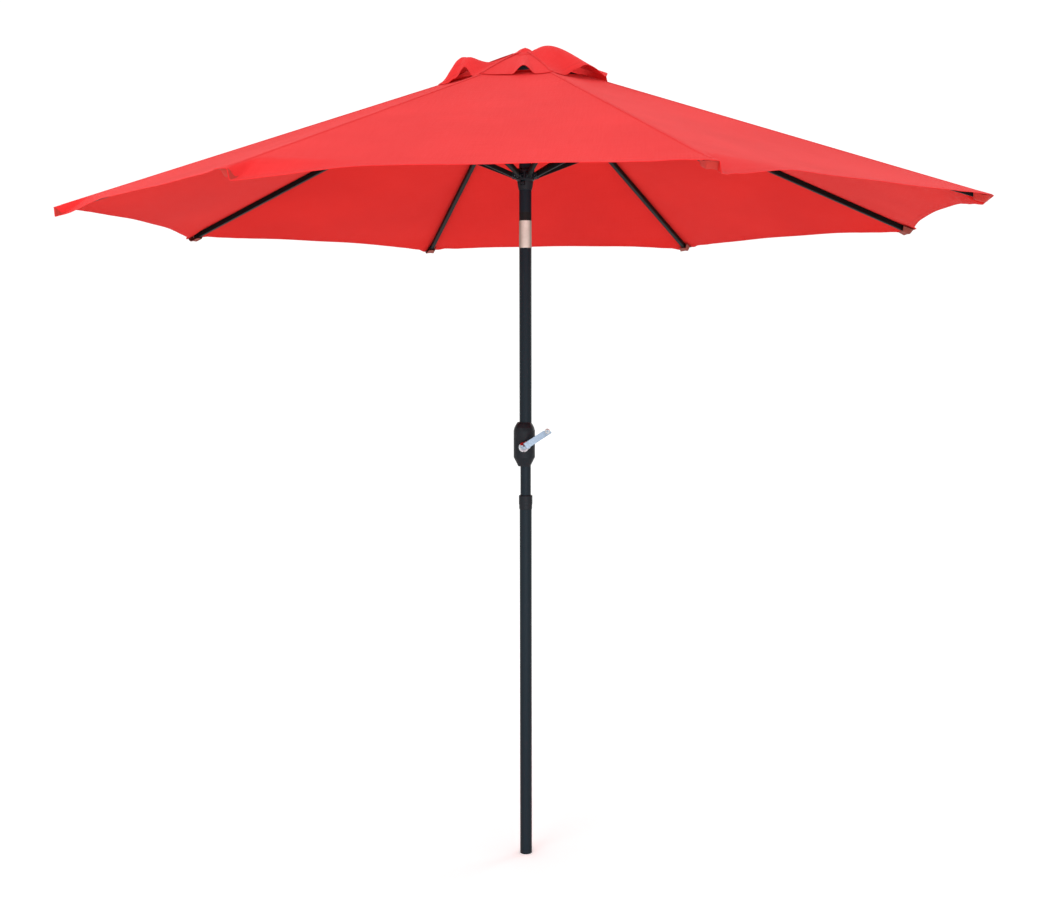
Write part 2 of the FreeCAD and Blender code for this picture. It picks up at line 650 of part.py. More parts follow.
def vent_cap():
    """Small top canopy: low over the ribs, puffed up between them for the vents."""
    rows = []
    steps = 2 * RIBS
    for k in range(CAP_RINGS + 1):
        share = k / CAP_RINGS
        r = 3.0 + (CAP_R - 3.0) * share
        row = []
        for m in range(steps + 1):
            at_rib = m % 2 == 0
            lift = CAP_APEX_LIFT + (CAP_CORNER_LIFT - CAP_APEX_LIFT) * share
            if not at_rib:
                lift += CAP_PUFF * sin(pi * min(1.0, 0.16 + 0.72 * share)) * min(1.0, 3 * share)
            here = fabric_point(r, 0.0 if at_rib else 0.5, lift)
            turn = SECTOR * (m // 2)
            row.append(FreeCAD.Rotation(Z_AXIS, turn).multVec(here))
        rows.append(row)
    rows = [row[:-1] + row[:1] for row in rows]
    return around(closed_ring(rows, CLOTH + 0.4), RIB_AZIMUTH)


def closed_ring(rows, thickness):
    """A closed solid under rings of points; each ring ends on its first point."""
    low = [[p - Vector(0, 0, thickness) for p in row] for row in rows]
    faces = []

    def patch(a, b, c, d):
        faces.append(Part.Face(Part.makePolygon([a, b, c, a])))
        faces.append(Part.Face(Part.makePolygon([a, c, d, a])))

    for m in range(len(rows[0]) - 1):
        for k in range(len(rows) - 1):
            for grid in (rows, low):
                patch(grid[k][m], grid[k][m + 1], grid[k + 1][m + 1], grid[k + 1][m])
        for k in (0, len(rows) - 1):
            patch(rows[k][m], rows[k][m + 1], low[k][m + 1], low[k][m])
    shell = Part.Shell(faces)
    shell.sewShape()
    solid = Part.Solid(shell)
    if solid.Volume < 0:
        solid.reverse()
    return solid


# ---------- write every node ----------

os.makedirs("parts", exist_ok=True)

save("lower_pole", lower_pole())
save("foot_plug", one(foot_plug()))
save("pole_collar", pole_collar())

HOUSING = housing_body()
save("joint_tube", one(joint_tube()))
save("mast_tube", one(mast_tube()))
save("crank_housing_front", one(housing_half(HOUSING, True)))
save("crank_housing_rear", one(housing_half(HOUSING, False)))
save("housing_screws", *[one(screw(x, z)) for x, z in screw_places()])

save("crank_shaft", one(crank_shaft()))
save("cord_spool", one(cord_spool()))
save("brake_spring", brake_spring())
save("crank_boss", one(crank_boss()))
save("crank_arm", one(crank_arm()))
save("crank_knob", one(crank_knob()))

save("tilt_socket", tilt_socket())
save("tilt_ferrule", one(tilt_ferrule()))
save("tilt_pin", tilt_pin())
save("tilt_fork", tilt_fork())
save("tilt_button", one(tilt_button()))
save("button_spring", button_spring())
save("upper_tube", upper_tube())

save("top_hub", top_hub())
save("hub_pins", *pins(HUB_Z))
save("cord_pulley", one(cord_pulley()))
save("top_button", top_button())

save("runner", runner())
save("runner_pins", *pins(RUNNER_Z))
save("vent_cap", vent_cap())

MADE_ONCE = {"rib": rib(), "rib_tip": rib_tip(), "strut": strut(), "canopy_gore": canopy_gore()}
for NODE, SHAPE in MADE_ONCE.items():
    for NUMBER in range(RIBS):
        save("%s_%d" % (NODE, NUMBER + 1), around(SHAPE, azimuth_of(NUMBER)))
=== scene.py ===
import json
import math

import bpy
import numpy as np
from mathutils import Matrix, Vector


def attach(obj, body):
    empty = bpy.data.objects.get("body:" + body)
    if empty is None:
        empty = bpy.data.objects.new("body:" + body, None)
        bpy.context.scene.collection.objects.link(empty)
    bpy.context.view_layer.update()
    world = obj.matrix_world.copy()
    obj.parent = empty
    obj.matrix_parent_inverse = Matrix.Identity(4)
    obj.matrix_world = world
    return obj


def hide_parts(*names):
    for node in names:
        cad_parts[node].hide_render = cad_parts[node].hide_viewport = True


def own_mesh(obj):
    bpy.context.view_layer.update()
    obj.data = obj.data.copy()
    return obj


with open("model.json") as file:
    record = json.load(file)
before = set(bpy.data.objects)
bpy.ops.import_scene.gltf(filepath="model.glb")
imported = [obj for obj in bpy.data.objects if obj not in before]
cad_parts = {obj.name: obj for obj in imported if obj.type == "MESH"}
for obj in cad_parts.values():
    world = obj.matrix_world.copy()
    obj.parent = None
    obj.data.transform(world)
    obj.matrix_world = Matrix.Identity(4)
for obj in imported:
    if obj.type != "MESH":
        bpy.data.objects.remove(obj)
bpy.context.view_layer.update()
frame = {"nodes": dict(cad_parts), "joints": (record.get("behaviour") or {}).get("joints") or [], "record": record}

# Patio umbrella: the CAD frame keeps its tubes, crank, tilt joint, hub, runner, ribs and struts.
# The canopy, its seams and pockets and the vent cap are made here. Metres, +Z up.

# ---------- places taken from the frame ----------

JOINTS = {joint["name"]: joint for joint in frame["joints"]}
NODES = frame["nodes"]
RIBS = sum(name.startswith("canopy_gore_") for name in NODES)
HINGE = Vector(JOINTS["canopy_fold"]["pos_m"])
FIRST_AZIMUTH = math.atan2(HINGE.y, HINGE.x)
SECTOR = 2 * math.pi / RIBS
HALF = SECTOR / 2

# ---------- camera and lights ----------

CAMERA_PLACE = (0.0, -3.998, 1.642)
CAMERA_LENS = 44.305
SENSOR_WIDTH = 36.0
CAMERA_YAW = 0.0036
CAMERA_DROP = math.radians(4.884)
CAMERA_ROLL = -0.0015
WORLD_STRENGTH = 1.06
FLOOR_REACH = 40.0

# Name, place, what it points at, width and height, watts.
LIGHTS = (
    ("key", (-3.2, -4.6, 4.6), (0.0, 0.0, 1.6), (3.0, 3.0), 90.0),
    ("rim", (4.2, 3.4, 3.4), (0.0, 0.0, 1.6), (2.0, 3.5), 50.0),
    ("low_fill", (0.6, -4.4, 0.25), (0.0, 0.0, 2.2), (4.0, 1.6), 50.0),
)

# ---------- driving dimensions of the fabric ----------

RIB_SLOPE = math.radians(19.6)
CANOPY_R = 1.370          # hub axis to a canopy corner
APEX_Z = 2.500            # where the gore planes meet on the axis
REST_ON_RIB = -0.0018     # fabric plane against the plane of the CAD gores
VENT_R = 0.190
CLOTH = 0.0006
HEM_WIDTH = 0.018
HEM_EXTRA = 0.0006        # the turned-up hem is twice as thick
EDGE_SCOOP = 0.0450
END_HALF = 0.021          # half width of the squared corner
END_BULGE = 0.6           # how far the corner's end follows the square of the gore
SHOULDER = 0.045          # length of the S-curve beside a corner
SAG = 0.011
SAG_START = 0.12          # where along its curve the sag begins at the vent
SAG_SPAN = 0.62

# Small waves in the taut cloth: height, and turns or reach.
TENSION, TENSION_TURNS, TENSION_REACH = 0.0005, 95, 0.16
RIPPLE, RIPPLE_TURNS = 0.0012, 7.0
FLUTE, FLUTE_TURNS = 0.0007, 21.0

# The canopy sits slightly turned on its frame, so one side of every corner hangs down.
TWIST_REACH = 0.100       # length of the twist along the rib
TWIST_END = 0.012         # it is complete this far inside the corner
TWIST_FOLD = (0.0095, 0.0260)     # the fold beside the rib, clear of its tip
TWIST_BACK = 0.030        # from here the hem returns to its plane
TWIST_RISE_IN = 0.020     # the other side rises over this width
TWIST_RISE_OUT = 0.120    # and is back in its plane here
TWIST_DROPS = np.array([0.0060] * 4 + [0.0240] * 4)     # the far ribs hang less
TWIST_SLIPS = np.array([0.0] * 7 + [0.0220])            # drawn in along the rib, at rib 8 only
TWIST_PULL = 0.0070       # how far the hanging side is drawn in towards the rib
TWIST_RISE = 0.0030       # lift of the other side
TWIST_HEM = 0.300         # where the hem is back in its plane

POCKET_LENGTH = 0.048
POCKET_DEPTH = 0.0225
POCKET_HALF = 0.0170
POCKET_FLARE = 0.0035     # wider at the corner's end
POCKET_HANG = 0.0150      # and wider still on its hanging side
POCKET_FLOOR = 0.0105     # half width of its flat floor
POCKET_WALL = 0.80        # share of its depth lost down the side wall
POCKET_CLOSE = 0.55       # share of its length where it starts to close
POCKET_INSET = 0.0012     # inside the hem
POCKET_GAP = 0.0008       # under the cloth
WEBBING = 0.0010

CAP_START = 0.036
CAP_R = 0.272
CAP_APEX_LIFT = 0.0205
CAP_CORNER_LIFTS = np.full(RIBS, 0.0010)
CAP_CORNER_LIFTS[7] = 0.0120     # the cap's corner stands off the canopy at rib 8
CAP_SAG = 0.008
CAP_HEM = 0.012
CAP_WAVE, CAP_WAVE_TURNS = 0.003, 60
CAP_EASE = 0.13           # share of the cap's radius that stays flat about its centre

CROWN_R = 0.062
CROWN_HOLE = 0.0005       # the patch's middle is a pin hole
CROWN_LIFT = 0.0010
CROWN_CLOTH = 0.0009
BUTTON_BUMP = 0.0050      # the crown patch covers the button
BUTTON_EDGE = (0.012, 0.032)

# Sewn strips along the ribs: half width, lift over the cloth, thickness.
SEAM = (0.0075, 0.0004, 0.0008)
CAP_SEAM = (0.0060, 0.0008, 0.0006)
SEAM_INSET = 0.010
SEAM_SHORT = 0.020        # the tape stops this far inside the corner
CAP_SEAM_INSET = 0.004

# Each vent: how far the cap is puffed up inside its gore, where across the gore (-1 at one rib,
# 1 at the next), how wide and how near its edge; then the height, middle and width of the opening.
# The vents at the back are all alike.
OPEN_VENT = (0.016, 0.0, 1.3, 1.0, 0.030, 0.0, 1.20)
VENTS = np.array([OPEN_VENT] * RIBS)
VENTS[3] = (0.014, 0.0, 1.3, 1.0, 0.024, 0.1, 1.20)
VENTS[4] = (0.055, -0.4, 1.0, 4.0, 0.030, 0.25, 0.50)
VENTS[5] = (0.004, 0.0, 1.3, 1.0, 0.024, 0.20, 0.34)
VENTS[6] = (0.046, -0.2, 1.5, 1.0, 0.035, 0.30, 0.90)
VENTS[7] = (0.016, -0.2, 1.2, 1.0, 0.030, -0.4, 1.00)

# ---------- worked-out values ----------

TAN_SLOPE = math.tan(RIB_SLOPE)
GORE_SLOPE = math.atan(TAN_SLOPE / math.cos(HALF))
ALONG = math.cos(HALF) / math.cos(GORE_SLOPE)     # distance down a gore's middle per unit of rib radius
ACROSS = math.sin(HALF)                           # half a gore's width per unit of rib radius
CORNER_TAN = ACROSS / ALONG                       # between a gore's middle and its rib, in the cloth
SIDES = (1, -1)


def azimuth_of(i):
    return FIRST_AZIMUTH + SECTOR * i


def smoothstep(lo, hi, x):
    t = np.clip((x - lo) / (hi - lo), 0.0, 1.0)
    return t * t * (3 - 2 * t)


# ---------- camera, light and floor ----------

def make_camera():
    data = bpy.data.cameras.new("camera")
    data.lens = CAMERA_LENS
    data.sensor_width = SENSOR_WIDTH
    camera = bpy.data.objects.new("camera", data)
    bpy.context.scene.collection.objects.link(camera)
    turn = Matrix.Rotation(CAMERA_YAW, 4, "Z") @ Matrix.Rotation(math.pi / 2 - CAMERA_DROP, 4, "X")
    turn = turn @ Matrix.Rotation(CAMERA_ROLL, 4, "Z")
    camera.matrix_world = Matrix.Translation(CAMERA_PLACE) @ turn
    bpy.context.scene.camera = camera


def area_light(name, place, target, size, power):
    data = bpy.data.lights.new(name, "AREA")
    data.shape = "RECTANGLE"
    data.size, data.size_y = size
    data.energy = power
    light = bpy.data.objects.new(name, data)
    bpy.context.scene.collection.objects.link(light)
    light.location = place
    light.rotation_euler = (Vector(target) - Vector(place)).to_track_quat("-Z", "Y").to_euler()


def make_studio():
    scene = bpy.context.scene
    scene.view_settings.view_transform = "Standard"
    world = bpy.data.worlds.new("studio")
    world.use_nodes = True
    world.node_tree.nodes["Background"].inputs["Color"].default_value = (1.0, 1.0, 1.0, 1.0)
    world.node_tree.nodes["Background"].inputs["Strength"].default_value = WORLD_STRENGTH
    scene.world = world
    for light in LIGHTS:
        area_light(*light)

    mesh = bpy.data.meshes.new("floor")
    signs = ((-1, -1), (1, -1), (1, 1), (-1, 1))
    corners = [(x * FLOOR_REACH, y * FLOOR_REACH, 0) for x, y in signs]
    mesh.from_pydata(corners, [], [(0, 1, 2, 3)])
    floor = bpy.data.objects.new("floor", mesh)
    scene.collection.objects.link(floor)
    floor.data.materials.append(studio_floor())


# ---------- material building blocks ----------

def new_material(name):
    material = bpy.data.materials.new(name)
    material.use_nodes = True
    return material, material.node_tree, material.node_tree.nodes["Principled BSDF"]


def node(tree, kind, *values, **settings):
    """Adds a node. Values go to its inputs in order: a socket is linked, None is left alone."""
    made = tree.nodes.new("ShaderNode" + kind)
    for key, value in settings.items():
        setattr(made, key, value)
    for socket, value in zip(made.inputs, values):
        if isinstance(value, bpy.types.NodeSocket):
            tree.links.new(value, socket)
        elif value is not None:
            socket.default_value = value
    return made


def math_node(tree, operation, *values):
    return node(tree, "Math", *values, operation=operation).outputs[0]


def mapped(tree, value, from_lo, from_hi, to_lo, to_hi):
    return node(tree, "MapRange", value, from_lo, from_hi, to_lo, to_hi).outputs[0]


def colour_mix(tree, factor, a, b):
    made = tree.nodes.new("ShaderNodeMix")
    made.data_type = "RGBA"
    for socket, value in zip((made.inputs[0], made.inputs[6], made.inputs[7]), (factor, a, b)):
        if isinstance(value, bpy.types.NodeSocket):
            tree.links.new(value, socket)
        elif isinstance(value, (int, float)):
            socket.default_value = value
        else:
            socket.default_value = (*value, 1.0)
    return made.outputs[2]


def object_place(tree):
    return node(tree, "TexCoord").outputs["Object"]


def stretched(tree, vector, scale):
    return node(tree, "Mapping", vector, None, None, scale, vector_type="POINT").outputs[0]


def noise(tree, vector, scale, detail=2.0, roughness=0.5):
    made = node(tree, "TexNoise")
    tree.links.new(vector, made.inputs["Vector"])
    made.inputs["Scale"].default_value = scale
    made.inputs["Detail"].default_value = detail
    made.inputs["Roughness"].default_value = roughness
    return made.outputs[0]


def bump(tree, height, distance, strength=1.0, under=None):
    made = node(tree, "Bump")
    made.inputs["Strength"].default_value = strength
    made.inputs["Distance"].default_value = distance
    tree.links.new(height, made.inputs["Height"])
    if under is not None:
        tree.links.new(under, made.inputs["Normal"])
    return made.outputs[0]


def edge_mask(tree, radius):
    """1 on sharp edges within this radius, 0 on the open face."""
    rounded = node(tree, "Bevel", radius, samples=6).outputs[0]
    flat = node(tree, "NewGeometry").outputs["Normal"]
    agree = node(tree, "VectorMath", rounded, flat, operation="DOT_PRODUCT").outputs["Value"]
    return mapped(tree, agree, 0.99, 0.80, 0.0, 1.0)


def painted_light_by_view(tree):
    """Painted light by view angle: 1 where a surface faces the viewer, 0 at its grazing rim. It paints the
    highlight on glossy coats and the rim tone on metal.
    """
    weight = node(tree, "LayerWeight", 0.5).outputs["Facing"]
    return mapped(tree, weight, 0.0, 0.45, 1.0, 0.0)


def link(tree, shader, **sockets):
    for name, value in sockets.items():
        tree.links.new(value, shader.inputs[name.replace("_", " ")])


# ---------- materials ----------

CANOPY_YARN = 0.0013
HEM_ROWS = (0.0035, 0.0150)       # two rows of stitches, this far from the edge
STITCH_PITCH = 0.0036
SPARK_GRAIN = 900.0               # texture of a spark-eroded mould


def studio_floor():
    material, tree, shader = new_material("studio_floor")
    grain = noise(tree, object_place(tree), 3.0, 3.0)
    link(tree, shader, Base_Color=colour_mix(tree, grain, (0.95, 0.95, 0.95), (0.97, 0.97, 0.97)))
    shader.inputs["Roughness"].default_value = 0.9
    shader.inputs["Specular IOR Level"].default_value = 0.2
    shader.inputs["Emission Color"].default_value = (1.0, 1.0, 1.0, 1.0)
    shader.inputs["Emission Strength"].default_value = 0.12
    return material


def stitches(tree, away, along, distances):
    """Height of rows of thread at these distances from an edge."""
    dash = math_node(tree, "SINE", math_node(tree, "MULTIPLY", along, 2 * math.pi / STITCH_PITCH))
    dash = mapped(tree, dash, -0.75, -0.2, 0.0, 1.0)
    total = None
    for distance in distances:
        off = math_node(tree, "ABSOLUTE", math_node(tree, "SUBTRACT", away, distance))
        row = math_node(tree, "MULTIPLY", mapped(tree, off, 0.0009, 0.0002, 0.0, 1.0), dash)
        total = row if total is None else math_node(tree, "MAXIMUM", total, row)
    return total


def woven(name, colour, deep, sheen, rough, yarn=CANOPY_YARN, stitch_rows=HEM_ROWS, painted_glow=0.0):
    """Plain-weave cloth: warp and weft, slubs, sun-fade, thread rows, and a painted emission in its own colour
    that stands in for light coming through it.
    """
    material, tree, shader = new_material(name)
    cloth = node(tree, "UVMap", uv_map="Cloth").outputs[0]
    edge = node(tree, "SeparateXYZ", node(tree, "UVMap", uv_map="Edge").outputs[0])
    away, along = edge.outputs[0], edge.outputs[1]
    part = node(tree, "SeparateXYZ", cloth)
    waves = [math_node(tree, "SINE", math_node(tree, "MULTIPLY", part.outputs[k], math.pi / yarn))
             for k in (0, 1)]
    weave = math_node(tree, "MULTIPLY", waves[0], waves[1])
    warp_slub = noise(tree, stretched(tree, cloth, (9.0, 420.0, 1.0)), 1.0, 2.0)
    weft_slub = noise(tree, stretched(tree, cloth, (420.0, 9.0, 1.0)), 1.0, 2.0)
    slub = math_node(tree, "ADD", warp_slub, weft_slub)
    fade = noise(tree, stretched(tree, cloth, (1.0, 1.0, 1.0)), 2.6, 3.0, 0.55)
    thread = stitches(tree, away, along, stitch_rows)

    tone = math_node(tree, "ADD", mapped(tree, slub, 0.7, 1.3, 0.0, 0.30),
                     mapped(tree, fade, 0.35, 0.65, 0.0, 0.45))
    tone = math_node(tree, "ADD", tone, mapped(tree, weave, -1.0, 1.0, 0.12, 0.0))
    shade = colour_mix(tree, tone, colour, deep)
    darker = tuple(c * 0.72 for c in deep)
    shade = colour_mix(tree, math_node(tree, "MULTIPLY", thread, 0.45), shade, darker)
    link(tree, shader, Base_Color=shade)

    link(tree, shader, Roughness=mapped(tree, slub, 0.7, 1.3, rough - 0.06, rough + 0.06))
    puckers = math_node(tree, "MULTIPLY", mapped(tree, away, 0.0, 0.03, 1.0, 0.0),
                        noise(tree, stretched(tree, cloth, (70.0, 70.0, 1.0)), 1.0, 1.0))
    normal = bump(tree, puckers, 0.0016, 0.6)
    normal = bump(tree, slub, 0.00035, 0.5, normal)
    normal = bump(tree, weave, 0.00022, 0.45, normal)
    normal = bump(tree, thread, 0.0007, 0.8, normal)
    link(tree, shader, Normal=normal)
    shader.inputs["Sheen Weight"].default_value = sheen
    shader.inputs["Sheen Roughness"].default_value = 0.45
    shader.inputs["Specular IOR Level"].default_value = 0.10
    # Painted light: emission in the cloth's own colour stands in for light coming through it.
    shader.inputs["Emission Color"].default_value = (*colour, 1.0)
    shader.inputs["Emission Strength"].default_value = painted_glow
    return material


def powder_coat(name, colour, painted_highlight, worn, rough, grain=1500.0, wear=0.5):
    """Painted metal: orange peel, faint colour drift, rubbed edges and light dust, with a painted highlight where
    it faces the viewer.
    """
    material, tree, shader = new_material(name)
    place = object_place(tree)
    peel = noise(tree, place, grain, 2.0)
    drift = noise(tree, stretched(tree, place, (14.0, 14.0, 3.0)), 1.0, 4.0)
    rubs = noise(tree, stretched(tree, place, (260.0, 260.0, 22.0)), 1.0, 3.0, 0.65)
    scuffs = math_node(tree, "MULTIPLY", mapped(tree, rubs, 0.60, 0.74, 0.0, 1.0),
                       mapped(tree, drift, 0.48, 0.64, 0.0, wear))
    edges = math_node(tree, "MULTIPLY", edge_mask(tree, 0.0012), mapped(tree, rubs, 0.4, 0.6, 0.1, 0.7))
    light = tuple(c * 1.3 + 0.001 for c in colour)
    shade = colour_mix(tree, mapped(tree, drift, 0.3, 0.7, 0.0, 1.0), colour, light)
    # Painted highlight: the coat turns to its lighter second colour where it faces the viewer.
    shade = colour_mix(tree, painted_light_by_view(tree), shade, painted_highlight)
    shade = colour_mix(tree, math_node(tree, "MAXIMUM", scuffs, edges), shade, worn)
    link(tree, shader, Base_Color=shade)
    dull = math_node(tree, "ADD", drift, scuffs)
    link(tree, shader, Roughness=mapped(tree, dull, 0.3, 1.0, rough, rough + 0.16))
    normal = bump(tree, peel, 0.00018, 0.35)
    link(tree, shader, Normal=bump(tree, scuffs, 0.0001, 0.3, normal))
    shader.inputs["Specular IOR Level"].default_value = 0.10
    return material


def moulded(name, colour, painted_highlight, worn, rough, shine=0.12):
    """Moulded plastic: fine spark-eroded texture, faint flow marks, paler rubbed edges, and a painted highlight
    where it faces the viewer.
    """
    material, tree, shader = new_material(name)
    place = object_place(tree)
    texture = noise(tree, place, SPARK_GRAIN, 2.0)
    flow = noise(tree, stretched(tree, place, (30.0, 30.0, 12.0)), 1.0, 3.0)
    edges = math_node(tree, "MULTIPLY", edge_mask(tree, 0.0015), mapped(tree, flow, 0.35, 0.6, 0.2, 0.9))
    light = tuple(c * 1.3 + 0.001 for c in colour)
    shade = colour_mix(tree, mapped(tree, flow, 0.3, 0.7, 0.0, 1.0), colour, light)
    # Painted highlight: the plastic turns to its lighter second colour where it faces the viewer.
    shade = colour_mix(tree, painted_light_by_view(tree), shade, painted_highlight)
    link(tree, shader, Base_Color=colour_mix(tree, edges, shade, worn))
    link(tree, shader, Roughness=mapped(tree, flow, 0.3, 0.7, rough - 0.05, rough + 0.09))
    link(tree, shader, Normal=bump(tree, texture, 0.00015, 0.4))
    shader.inputs["Specular IOR Level"].default_value = shine
    return material


def metal(name, colour, dull, rim, rough, lines=(300.0, 300.0, 300.0), scratch=0.0001, metallic=1.0):
    """Bare or plated metal: machining lines, fine scratches, dull patches, and a painted rim tone where it turns
    away from the viewer (a painted reflection on chrome, painted shade on the ferrule).
    """
    material, tree, shader = new_material(name)
    place = object_place(tree)
    brushing = noise(tree, stretched(tree, place, lines), 1.0, 3.0, 0.6)
    patches = noise(tree, stretched(tree, place, (60.0, 60.0, 60.0)), 1.0, 3.0)
    shade = colour_mix(tree, mapped(tree, patches, 0.4, 0.75, 0.0, 0.8), colour, dull)
    shade = colour_mix(tree, mapped(tree, brushing, 0.35, 0.65, 0.35, 0.0), shade, dull)
    # Painted rim: the rim colour takes over where the surface turns away from the viewer.
    shade = colour_mix(tree, painted_light_by_view(tree), rim, shade)
    link(tree, shader, Base_Color=shade)
    both = math_node(tree, "ADD", math_node(tree, "MULTIPLY", brushing, 0.6), patches)
    link(tree, shader, Roughness=mapped(tree, both, 0.5, 1.1, rough, rough + 0.18))
    link(tree, shader, Normal=bump(tree, brushing, scratch, 0.5))
    shader.inputs["Metallic"].default_value = metallic
    return material


def make_materials():
    red = {"colour": (0.79, 0.031, 0.032), "deep": (0.67, 0.020, 0.021), "rough": 0.80}
    # The underside is a deeper, more saturated red than the top: painted light for light that comes through the
    # red cloth.
    under = {"colour": (0.61, 0.0130, 0.0095), "deep": (0.51, 0.0082, 0.0065), "rough": 0.84}
    webbing = {"sheen": 0.05, "rough": 0.85, "yarn": 0.0021, "stitch_rows": (0.0030,)}
    recipes = {
        "canopy_fabric": (woven, {**red, "sheen": 0.04}),
        "canopy_under": (woven, {**under, "sheen": 0.02}),
        # The cap's underside has painted emission for light coming through the cloth.
        "cap_under": (woven, {**red, "sheen": 0.02, "rough": 0.84, "painted_glow": 0.10}),
        "seam_tape": (woven, {**red, "sheen": 0.04, "stitch_rows": (0.0022,)}),
        "pocket_webbing": (woven, {
            **webbing, "colour": (0.260, 0.066, 0.050), "deep": (0.190, 0.046, 0.036)}),
        # A redder copy of the webbing, painted light for light coming through the red cloth, used on the near
        # ribs.
        "pocket_sunlit": (woven, {
            **webbing, "colour": (0.50, 0.040, 0.032), "deep": (0.40, 0.028, 0.022)}),
        # The second, lighter colour of each coat and plastic below is a painted highlight.
        "pole_paint": (powder_coat, {
            "colour": (0.0030, 0.0070, 0.0105), "painted_highlight": (0.0120, 0.0210, 0.0290),
            "worn": (0.040, 0.046, 0.052), "rough": 0.30}),
        "rib_paint": (powder_coat, {
            "colour": (0.0022, 0.0020, 0.0022), "painted_highlight": (0.0040, 0.0038, 0.0042),
            "worn": (0.022, 0.020, 0.020), "rough": 0.50, "wear": 0.3}),
        "tilt_casting": (powder_coat, {
            "colour": (0.0040, 0.0050, 0.0060), "painted_highlight": (0.0140, 0.0150, 0.0160),
            "worn": (0.045, 0.047, 0.049), "rough": 0.45, "grain": 900.0}),
        "black_plastic": (moulded, {
            "colour": (0.0035, 0.0050, 0.0070), "painted_highlight": (0.0150, 0.0190, 0.0240),
            "worn": (0.034, 0.038, 0.044), "rough": 0.36}),
        "tip_plastic": (moulded, {
            "colour": (0.0024, 0.0022, 0.0022), "painted_highlight": (0.0040, 0.0038, 0.0038),
            "worn": (0.020, 0.020, 0.020), "rough": 0.50}),
        "spool_plastic": (moulded, {
            "colour": (0.60, 0.58, 0.52), "painted_highlight": (0.62, 0.60, 0.54),
            "worn": (0.70, 0.69, 0.65), "rough": 0.42, "shine": 0.5}),
        "grip_plastic": (moulded, {
            "colour": (0.36, 0.39, 0.38), "painted_highlight": (0.56, 0.60, 0.60),
            "worn": (0.66, 0.70, 0.70), "rough": 0.28, "shine": 0.5}),
        # Chrome: the dark blue-grey body colours are painted reflections of a darker surround, and the pale rim
        # colour is a painted reflection.
        "chrome": (metal, {
            "colour": (0.20, 0.25, 0.32), "dull": (0.15, 0.18, 0.22), "rim": (0.66, 0.68, 0.71),
            "rough": 0.10, "lines": (160.0, 160.0, 160.0), "scratch": 0.00006}),
        # Ferrule: its green tint is painted to cancel the red light it reflects from the canopy, and its darker
        # rim colour is painted shade.
        "ferrule_metal": (metal, {
            "colour": (0.80, 0.82, 0.74), "dull": (0.62, 0.63, 0.55), "rim": (0.26, 0.27, 0.22),
            "rough": 0.42, "lines": (900.0, 900.0, 14.0), "scratch": 0.00012, "metallic": 0.25}),
        "inner_steel": (metal, {
            "colour": (0.50, 0.51, 0.52), "dull": (0.34, 0.34, 0.34), "rim": (0.55, 0.55, 0.55),
            "rough": 0.26}),
        "housing_screw_steel": (metal, {
            "colour": (0.06, 0.06, 0.07), "dull": (0.03, 0.03, 0.03), "rim": (0.08, 0.08, 0.08),
            "rough": 0.34}),
    }
    return {name: kind(name, **settings) for name, (kind, settings) in recipes.items()}


# ---------- sheets ----------

def closed_sheet(name, top, thickness, cloth, edge, materials):
    """A thin closed mesh under a grid of points, with a 'Cloth' and an 'Edge' UV map in metres."""
    rows, columns = top.shape[:2]
    across = np.gradient(top, axis=1)
    down = np.gradient(top, axis=0)
    normal = np.cross(down, across)
    normal /= np.linalg.norm(normal, axis=2, keepdims=True) + 1e-12
    flipped = normal[..., 2].mean() < 0
    if flipped:
        normal = -normal
    bottom = top - normal * thickness[..., None]
    points = np.concatenate([top.reshape(-1, 3), bottom.reshape(-1, 3)])
    count = rows * columns
    faces, slots = [], []

    def add(a, b, c, d, slot):
        faces.append((d, c, b, a) if flipped else (a, b, c, d))
        slots.append(slot)

    for r in range(rows - 1):
        for c in range(columns - 1):
            a = r * columns + c
            b, d, e = a + columns, a + 1, a + columns + 1
            add(a, b, e, d, 0)
            add(a + count, d + count, e + count, b + count, 1)
    for r in range(rows - 1):
        left, right = r * columns, r * columns + columns - 1
        add(left, left + count, left + columns + count, left + columns, 0)
        add(right, right + columns, right + columns + count, right + count, 0)
    for c in range(columns - 1):
        first, last = c, (rows - 1) * columns + c
        add(first, first + 1, first + 1 + count, first + count, 0)
        add(last, last + count, last + 1 + count, last + 1, 0)

    mesh = bpy.data.meshes.new(name)
    mesh.from_pydata(points.tolist(), [], faces)
    for material in materials:
        mesh.materials.append(material)
    mesh.polygons.foreach_set("material_index", slots)
    loops = np.zeros(len(mesh.loops), np.int32)
    mesh.loops.foreach_get("vertex_index", loops)
    for label, grid in (("Cloth", cloth), ("Edge", edge)):
        flat = np.concatenate([grid.reshape(-1, 2)] * 2)
        layer = mesh.uv_layers.new(name=label)
        layer.data.foreach_set("uv", flat[loops].astype(np.float32).ravel())
    mesh.shade_smooth()
    mesh.set_sharp_from_angle(angle=math.radians(45))
    mesh.update()
    piece = bpy.data.objects.new(name, mesh)
    bpy.context.scene.collection.objects.link(piece)
    return piece


def turned_grid(points, azimuth):
    c, s = math.cos(azimuth), math.sin(azimuth)
    x, y, z = points[..., 0], points[..., 1], points[..., 2]
    return np.stack([c * x - s * y, s * x + c * y, z], axis=2)


def on_gore(level, share, side, lift):
    """Points over a gore's plane beside the rib on +X. share is 0 on the rib and 1 mid-gore."""
    x = level * (1 - share * math.sin(HALF) ** 2)
    y = side * level * share * math.sin(HALF) * math.cos(HALF)
    z = APEX_Z - level * TAN_SLOPE + lift / math.cos(GORE_SLOPE)
    return np.stack(np.broadcast_arrays(x, y, z), axis=2)


